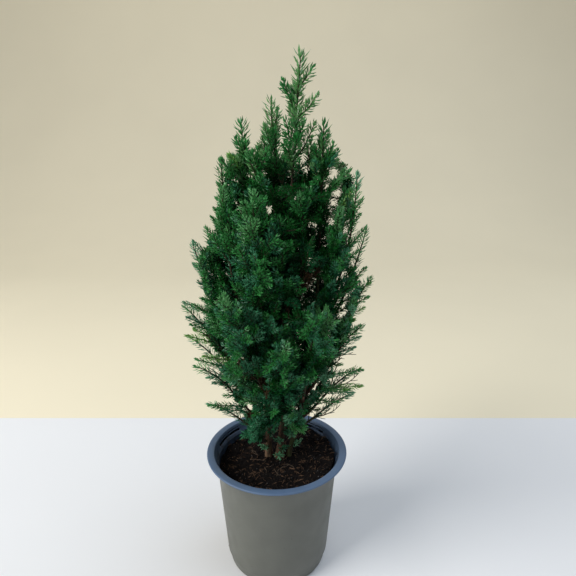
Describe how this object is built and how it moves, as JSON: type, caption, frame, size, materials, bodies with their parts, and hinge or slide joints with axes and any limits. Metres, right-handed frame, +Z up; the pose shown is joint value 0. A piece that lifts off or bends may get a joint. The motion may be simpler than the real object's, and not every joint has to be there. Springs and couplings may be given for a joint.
{
  "type": "potted lawson cypress",
  "caption": "Young evergreen shrub with soft juvenile needles in upright plumes, growing in a round plastic nursery pot.",
  "frame": {"origin": "middle of the pot's flat underside, where it stands", "axes": "+Z up along the pot's axis towards the plant's tip; -Y towards the viewer of the picture; +X to the right"},
  "size_m": [0.1155, 0.0939, 0.3165],
  "materials": {
    "pot_plastic": "satin moulded plastic, taupe outside and blue-grey on the rim and inside",
    "compost": "dark damp potting compost with fibres",
    "stem_bark": "thin red-brown bark",
    "bough_bark": "young green-brown bark",
    "needles": "soft evergreen needles, mid green with brighter tips and blue-green low down"
  },
  "bodies": {
    "root": {"bough_back_left": "bough_bark", "bough_crown_front": "bough_bark", "bough_face_left": "bough_bark", "bough_face_right": "bough_bark", "bough_flank_left": "bough_bark", "bough_flank_right": "bough_bark", "bough_front_left": "bough_bark", "bough_front_middle": "bough_bark", "bough_front_right": "bough_bark", "bough_front_tall": "bough_bark", "bough_low_left": "bough_bark", "bough_low_right": "bough_bark", "bough_reach_left": "bough_bark", "bough_reach_right": "bough_bark", "bough_rear_left": "bough_bark", "bough_rear_right": "bough_bark", "bough_shoulder_left": "bough_bark", "bough_shoulder_right": "bough_bark", "bough_wing_left": "bough_bark", "bough_wing_right": "bough_bark", "compost": "compost", "foliage_back_left": "needles", "foliage_back_low": "needles", "foliage_back_right": "needles", "foliage_crown_back": "needles", "foliage_crown_front": "needles", "foliage_crown_inner": "needles", "foliage_crown_left": "needles", "foliage_crown_rear": "needles", "foliage_crown_right": "needles", "foliage_face_left": "needles", "foliage_face_right": "needles", "foliage_flank_left": "needles", "foliage_flank_right": "needles", "foliage_front_left": "needles", "foliage_front_low": "needles", "foliage_front_middle": "needles", "foliage_front_right": "needles", "foliage_front_tall": "needles", "foliage_hem_left": "needles", "foliage_hem_right": "needles", "foliage_leader": "needles", "foliage_low_left": "needles", "foliage_low_right": "needles", "foliage_reach_left": "needles", "foliage_reach_right": "needles", "foliage_rear_left": "needles", "foliage_rear_right": "needles", "foliage_shoulder_left": "needles", "foliage_shoulder_right": "needles", "foliage_skirt_left": "needles", "foliage_spire_left": "needles", "foliage_spire_right": "needles", "foliage_sprig_left": "needles", "foliage_wing_left": "needles", "foliage_wing_right": "needles", "pot": "pot_plastic", "stem_left": "stem_bark", "stem_right": "stem_bark", "trunk": "stem_bark"}
  },
  "joints": []
}
